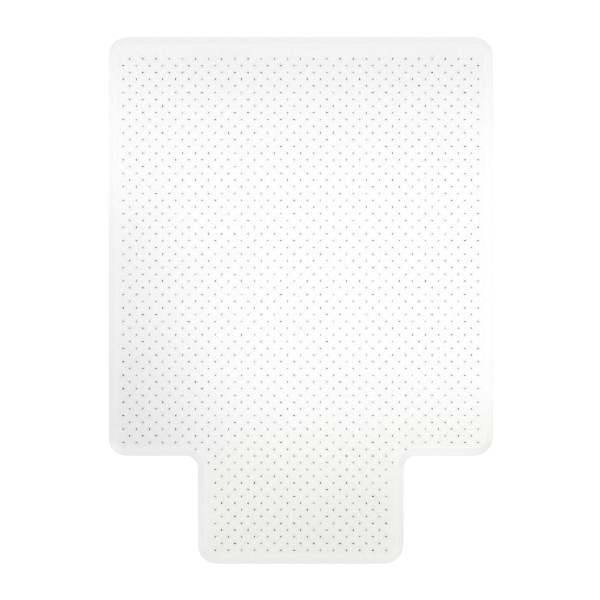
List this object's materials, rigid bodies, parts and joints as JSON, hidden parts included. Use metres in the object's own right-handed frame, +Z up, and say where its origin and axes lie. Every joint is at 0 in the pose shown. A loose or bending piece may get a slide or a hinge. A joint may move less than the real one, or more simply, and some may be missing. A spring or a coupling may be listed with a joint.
{
  "type": "chair mat",
  "caption": "Clear flat floor mat with a bevelled rim, a narrower lip that goes under the desk, and gripper studs underneath; an office chair rolls on it over carpet.",
  "frame": {"origin": "middle of the overall footprint, lip included, at the stud tips that it stands on", "axes": "+Z up; +Y from the lip towards the back edge; +X to the right as seen from above with the lip at the bottom, and left and right in node names are from that view"},
  "size_m": [0.9, 1.233, 0.0073],
  "materials": {
    "sheet": "clear flexible PVC with a fine frosted grain on top",
    "rim": "the same clear PVC, smooth",
    "studs": "the same clear PVC, moulded in one with the sheet; reads darker seen through it"
  },
  "bodies": {
    "root": {"deck_sheet": "sheet", "lip_sheet": "sheet", "deck_studs": "studs", "lip_studs": "studs", "back_rim": "rim", "left_rim": "rim", "left_shoulder_rim": "rim", "left_notch_rim": "rim", "left_lip_rim": "rim", "front_lip_rim": "rim", "right_lip_rim": "rim", "right_notch_rim": "rim", "right_shoulder_rim": "rim", "right_rim": "rim"}
  },
  "joints": []
}
